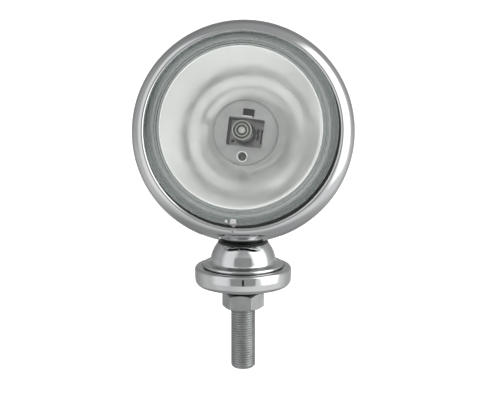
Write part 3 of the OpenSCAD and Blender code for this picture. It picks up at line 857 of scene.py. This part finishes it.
def bulb_filament():
    turns, per_turn, length, coil_r, wire = 9, 20, 4.6, 0.55, 0.13
    coil = []
    for i in range(turns * per_turn + 1):
        a = TAU * i / per_turn
        x = -length / 2 + length * i / (turns * per_turn)
        coil.append((x, FOCUS_Y + coil_r * rcos(a), coil_r * rsin(a)))
    legs = [tube_geometry([(x, FOCUS_Y + 0.1, 0), (x, FOCUS_Y + 3, 0.1), (x * 0.8, FOCUS_Y + 6, 0)], 0.22)
            for x in (-length / 2, length / 2)]
    piece("Bulb_Filament", moved(joined(tube_geometry(coil, wire, 8), *legs), BULB_X), UNIT, "head",
          tungsten, ["bulb_filament"])


def bulb_base():
    y = BASE_Y
    collar = rounded([(0.0, FOCUS_Y + 8.65), (4.4, FOCUS_Y + 8.65, 0.3), (4.9, FOCUS_Y + 9.4, 0.3),
                      (5.9, FOCUS_Y + 10.2, 0.5), (5.9, y + 0.02), (0.0, y + 0.02)], 4)
    boss = rounded([(0.0, y + 0.58), (4.0, y + 0.58), (4.0, y + 4, 0.5), (0.0, y + 4)], 4)
    obj = raw_object("Bulb_Base", prism_geometry(rect(18.2, 14.2, 1.2), y, y + 0.6), UNIT)
    wide_slot = rect(1.5, 6.2, 0.3, 5.6, 0.4)
    long_slot = rect(0.95, 7.6, 0.3, 7.7, -0.5)
    hole = circle(0.95, -7.3, -4.4, 20)
    cut(obj, [prism_geometry(opening, y - 1, y + 2) for opening in (wide_slot, long_slot, hole)], UNIT)
    rest = joined(lathe_geometry(collar, 72, closed=False), lathe_geometry(boss, 64, closed=False))
    absorb(obj, raw_object("base_rest", moved(rest, BULB_X), UNIT))
    # The dark colour of the pocket floor, collar and boss is painted shade.
    finish_piece(obj, "head", shaded_pocket_steel, ["bulb_base"])


def strap_screw():
    y, hex_r = PLATE_Y, 1.45
    outline = [(0.0, y - 0.12), (2.25, y - 0.12), (2.3, y - 1.0)]
    outline += arc(2.68, y - 0.9, 0.37, 0.36, 210, 360, 8)
    outline += [(3.05, y - 0.02), (1.5, y - 0.02), (1.5, y + 4.5), (0.0, y + 4.5)]
    hexagon = prism_geometry(circle(hex_r, n=6), y - 2, y + 0.6)
    piece("Strap_Screw", moved(lathe_geometry(outline, 48, closed=False), 0, 0, -SCREW_DOWN), UNIT, "head",
          bright, ["strap_screw"], 30, [moved(hexagon, 0, 0, -SCREW_DOWN)])
    # Painted shade: a near-black disc inside the hex recess, where the socket lies in shadow.
    socket = rounded([(2.18, y - 0.14), (2.18, y - 0.2, 0.02), (1.5, y - 0.26, 0.05), (1.2, y - 0.5, 0.1),
                      (0.0, y - 0.5), (0.0, y - 0.14)], 3)
    piece("Screw_Socket", moved(lathe_geometry(socket, 40, closed=False), 0, 0, -SCREW_DOWN), UNIT, "head",
          painted_shade_black)


def cable_grommet():
    bore_r, groove_r, flange_r, inside, outside = 2.3, CABLE_HOLE_R, 7.4, 48.2, 54.2
    outline = rounded([(bore_r, inside, 0.3), (flange_r, inside, 0.4), (flange_r, 49.8, 0.3),
                       (groove_r, 49.8), (groove_r, 52.0), (flange_r, 52.0, 0.5), (flange_r, 54.0, 0.9),
                       (3.2, outside, 0.3), (bore_r, outside, 0.3)], 5)
    piece("Cable_Grommet", lathe_geometry(outline, 96), HEAD, "head", rubber, ["grommet"])


for build in (base_disc, swivel_dome, seat_ring, mounting_stud, mounting_nut, lock_washer, shell, trim_ring,
              ring_clip, ring_screw, lens, lens_gasket, reflector, reflector_flange, bulb_plate, bulb_glass,
              bulb_cap, bulb_filament, bulb_base, strap_screw, cable_grommet):
    build()

# The CAD nodes that keep their own shape get finished materials
KEPT = {
    "swivel_ball": chrome, "clamp_plate": zinc, "swivel_bolt": zinc, "swivel_spring": spring,
    "swivel_washer": zinc, "swivel_nut": zinc, "dome_screws": zinc, "bulb_strap": bright, "bulb_lead": sheath,
    "lead_terminal": sleeve,
}
for name, material in KEPT.items():
    node_mesh = frame["nodes"][name].data
    for i in range(len(node_mesh.materials)):
        node_mesh.materials[i] = material
    if not node_mesh.materials:
        node_mesh.materials.append(material)


# ---------- stage ----------

def direction(azimuth, elevation):
    """Azimuth 0 is the lamp's front, 90 its left-hand side in its own view, which is the viewer's right."""
    a, e = math.radians(azimuth), math.radians(elevation)
    return Vector((rsin(a) * rcos(e), -rcos(a) * rcos(e), rsin(e)))


class Studio:
    """A soft studio as a world: pale walls with light and dark panels on them."""

    def __init__(self):
        world = bpy.data.worlds.new("studio")
        bpy.context.scene.world = world
        world.use_nodes = True
        self.tree = world.node_tree
        self.background = self.tree.nodes["Background"]
        self.way = self.tree.nodes.new("ShaderNodeTexCoord").outputs["Generated"]

    def math(self, operation, a, b=None):
        node = self.tree.nodes.new("ShaderNodeMath")
        node.operation = operation
        for socket, value in zip(node.inputs, (a, b)):
            if isinstance(value, (int, float)):
                socket.default_value = value
            elif value is not None:
                self.tree.links.new(value, socket)
        return node.outputs[0]

    def dot(self, vector):
        node = self.tree.nodes.new("ShaderNodeVectorMath")
        node.operation = "DOT_PRODUCT"
        node.inputs[1].default_value = vector
        self.tree.links.new(self.way, node.inputs[0])
        return node.outputs["Value"]

    def smooth(self, value, start, end, low=0.0, high=1.0):
        node = self.tree.nodes.new("ShaderNodeMapRange")
        node.interpolation_type = "SMOOTHSTEP"
        for key, number in (("From Min", start), ("From Max", end), ("To Min", low), ("To Max", high)):
            node.inputs[key].default_value = number
        self.tree.links.new(value, node.inputs["Value"])
        return node.outputs["Result"]

    def panel(self, light, azimuth, elevation, half_w, half_h, soft, level):
        ahead = direction(azimuth, elevation)
        right = Vector((rcos(math.radians(azimuth)), rsin(math.radians(azimuth)), 0))
        up = right.cross(-ahead).normalized() if abs(ahead.z) < 0.999 else Vector((0, 1, 0))
        depth = self.dot(ahead)
        safe = self.math("MAXIMUM", depth, 0.02)
        mask = self.math("GREATER_THAN", depth, 0.02)
        for basis, half in ((right, half_w), (up, half_h)):
            off = self.math("ABSOLUTE", self.math("DIVIDE", self.dot(basis), safe))
            mask = self.math("MULTIPLY", mask, self.smooth(off, half + soft, half - soft))
        rest = self.math("MULTIPLY", light, self.math("SUBTRACT", 1.0, mask))
        return self.math("ADD", rest, self.math("MULTIPLY", mask, level))


def studio_light():
    s = Studio()
    height, side, behind = s.dot(Vector((0, 0, 1))), s.dot(Vector((1, 0, 0))), s.dot(Vector((0, 1, 0)))
    room = s.smooth(height, -0.16, 0.02, 0.98, 0.80)
    room = s.math("MULTIPLY", room, s.smooth(height, 0.25, 0.9, 1.0, 0.66))
    room = s.math("MULTIPLY", room, s.smooth(height, -0.80, -0.48, 0.50, 1.0))
    room = s.math("MULTIPLY", room, s.smooth(side, -0.95, 0.8, 0.74, 1.05))
    room = s.math("MULTIPLY", room, s.smooth(behind, 0.05, 0.85, 1.0, 0.52))
    # Each panel: azimuth, elevation, half width, half height, soft edge, level
    for panel in ((72, 22, 0.50, 0.80, 0.22, 2.5), (-50, 18, 0.42, 0.85, 0.24, 1.15),
                  (4.5, 6, 0.60, 0.45, 0.08, 0.42), (4.5, -10, 0.045, 0.09, 0.015, 0.03)):
        room = s.panel(room, *panel)

    # What the glass lets in: the open front of the studio, paler, with a few dark things in it
    front = s.smooth(side, -0.6, 0.6, 1.36, 1.66)
    front = s.math("MULTIPLY", front, s.smooth(height, -0.3, 0.4, 1.10, 0.88))
    for panel in ((0, -17, 0.30, 0.06, 0.05, 0.05), (33, 10, 0.09, 0.20, 0.05, 0.10)):
        front = s.panel(front, *panel)
    path = s.tree.nodes.new("ShaderNodeLightPath").outputs
    through = s.math("GREATER_THAN", path["Transmission Depth"], 0.5)
    light = s.math("ADD", s.math("MULTIPLY", through, front),
                   s.math("MULTIPLY", s.math("SUBTRACT", 1.0, through), room))
    backdrop = 1.2
    seen = s.math("MULTIPLY", path["Is Camera Ray"], backdrop)
    unseen = s.math("MULTIPLY", light, s.math("SUBTRACT", 1.0, path["Is Camera Ray"]))
    s.tree.links.new(s.math("ADD", seen, unseen), s.background.inputs["Strength"])
    s.background.inputs["Color"].default_value = (1, 1, 1, 1)


def floor():
    mesh = bpy.data.meshes.new("Studio_Floor")
    half, drop = 6.0, 0.16
    low = cad_box[0].z - drop
    mesh.from_pydata([(-half, -half, low), (half, -half, low), (half, half, low), (-half, half, low)], [],
                     [(0, 1, 2, 3)])
    obj = bpy.data.objects.new("Studio_Floor", mesh)
    bpy.context.scene.collection.objects.link(obj)
    s = Shader("pale_floor")
    s.colour(s.noise(300.0, 2), (0.80, 0.80, 0.80), (0.84, 0.84, 0.84))
    s.rough(s.noise(60.0, 3), 0.7, 0.9)
    s.set(Emission_Strength=0.65)
    s.bsdf.inputs["Emission Color"].default_value = (1, 1, 1, 1)
    mesh.materials.append(s.material)
    obj.visible_glossy = False
    obj.visible_transmission = False


def camera():
    azimuth, elevation, distance = 4.5, 12.0, 0.966
    back = direction(azimuth, elevation)
    right = Vector((rcos(math.radians(azimuth)), rsin(math.radians(azimuth)), 0))
    aim_height, aim_right = 0.0442, 0.0036
    target = Vector((0, 0, aim_height)) + right * aim_right
    data = bpy.data.cameras.new("camera")
    data.lens, data.sensor_width = 135, 36
    data.clip_start, data.clip_end = 0.05, 30
    cam = bpy.data.objects.new("camera", data)
    bpy.context.scene.collection.objects.link(cam)
    cam.location = target + back * distance
    cam.rotation_mode = "QUATERNION"
    cam.rotation_quaternion = (-back).to_track_quat("-Z", "Y")
    bpy.context.scene.camera = cam


studio_light()
floor()
camera()
bpy.context.scene.view_settings.view_transform = "Standard"
